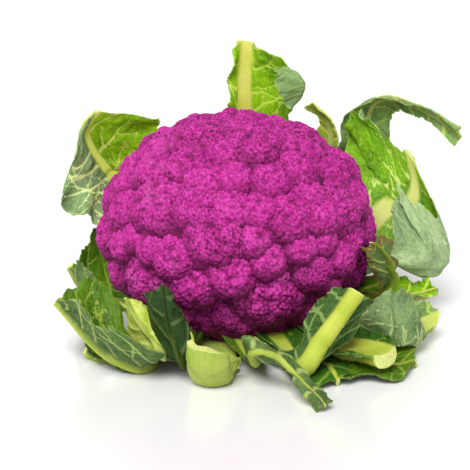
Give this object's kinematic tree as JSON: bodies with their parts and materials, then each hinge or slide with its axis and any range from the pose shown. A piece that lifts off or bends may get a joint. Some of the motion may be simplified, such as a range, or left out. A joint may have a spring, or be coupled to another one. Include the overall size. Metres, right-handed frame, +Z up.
{
  "type": "cauliflower",
  "caption": "Purple cauliflower head with a domed, beaded curd on a short cut stalk, in a loose ring of cropped green leaves.",
  "frame": {"origin": "centre of the stalk's flat cut face, on the surface that the head stands on", "axes": "+Z up through the curd, -Y towards the front, the side that the curd leans towards, +X to the right seen from the front"},
  "size_m": [0.2365, 0.2427, 0.1522],
  "materials": {
    "purple_curd": "matt, finely beaded plant tissue",
    "green_leaf": "satin waxy leaf with pale veins and ribs",
    "cut_stalk": "satin skin and moist pale cut face"
  },
  "bodies": {
    "root": {"stalk": "cut_stalk", "curd": "purple_curd", "leaf_left_low": "green_leaf", "leaf_left_spoon": "green_leaf", "leaf_left_rolled": "green_leaf", "leaf_front_left_cup": "green_leaf", "leaf_front_boat": "green_leaf", "leaf_front_strip": "green_leaf", "leaf_front_right_rib": "green_leaf", "leaf_front_right_flat": "green_leaf", "leaf_right_cut_rib": "green_leaf", "leaf_right_flat": "green_leaf", "leaf_right_gutter": "green_leaf", "leaf_right_torn": "green_leaf", "leaf_right_spread": "green_leaf", "leaf_right_folded": "green_leaf", "leaf_back_ribbon": "green_leaf", "leaf_back_sliver": "green_leaf", "leaf_back_tall": "green_leaf", "leaf_back_left_bent": "green_leaf", "leaf_back_broad": "green_leaf", "leaf_back_right_low": "green_leaf", "leaf_left_hidden": "green_leaf"}
  },
  "joints": []
}
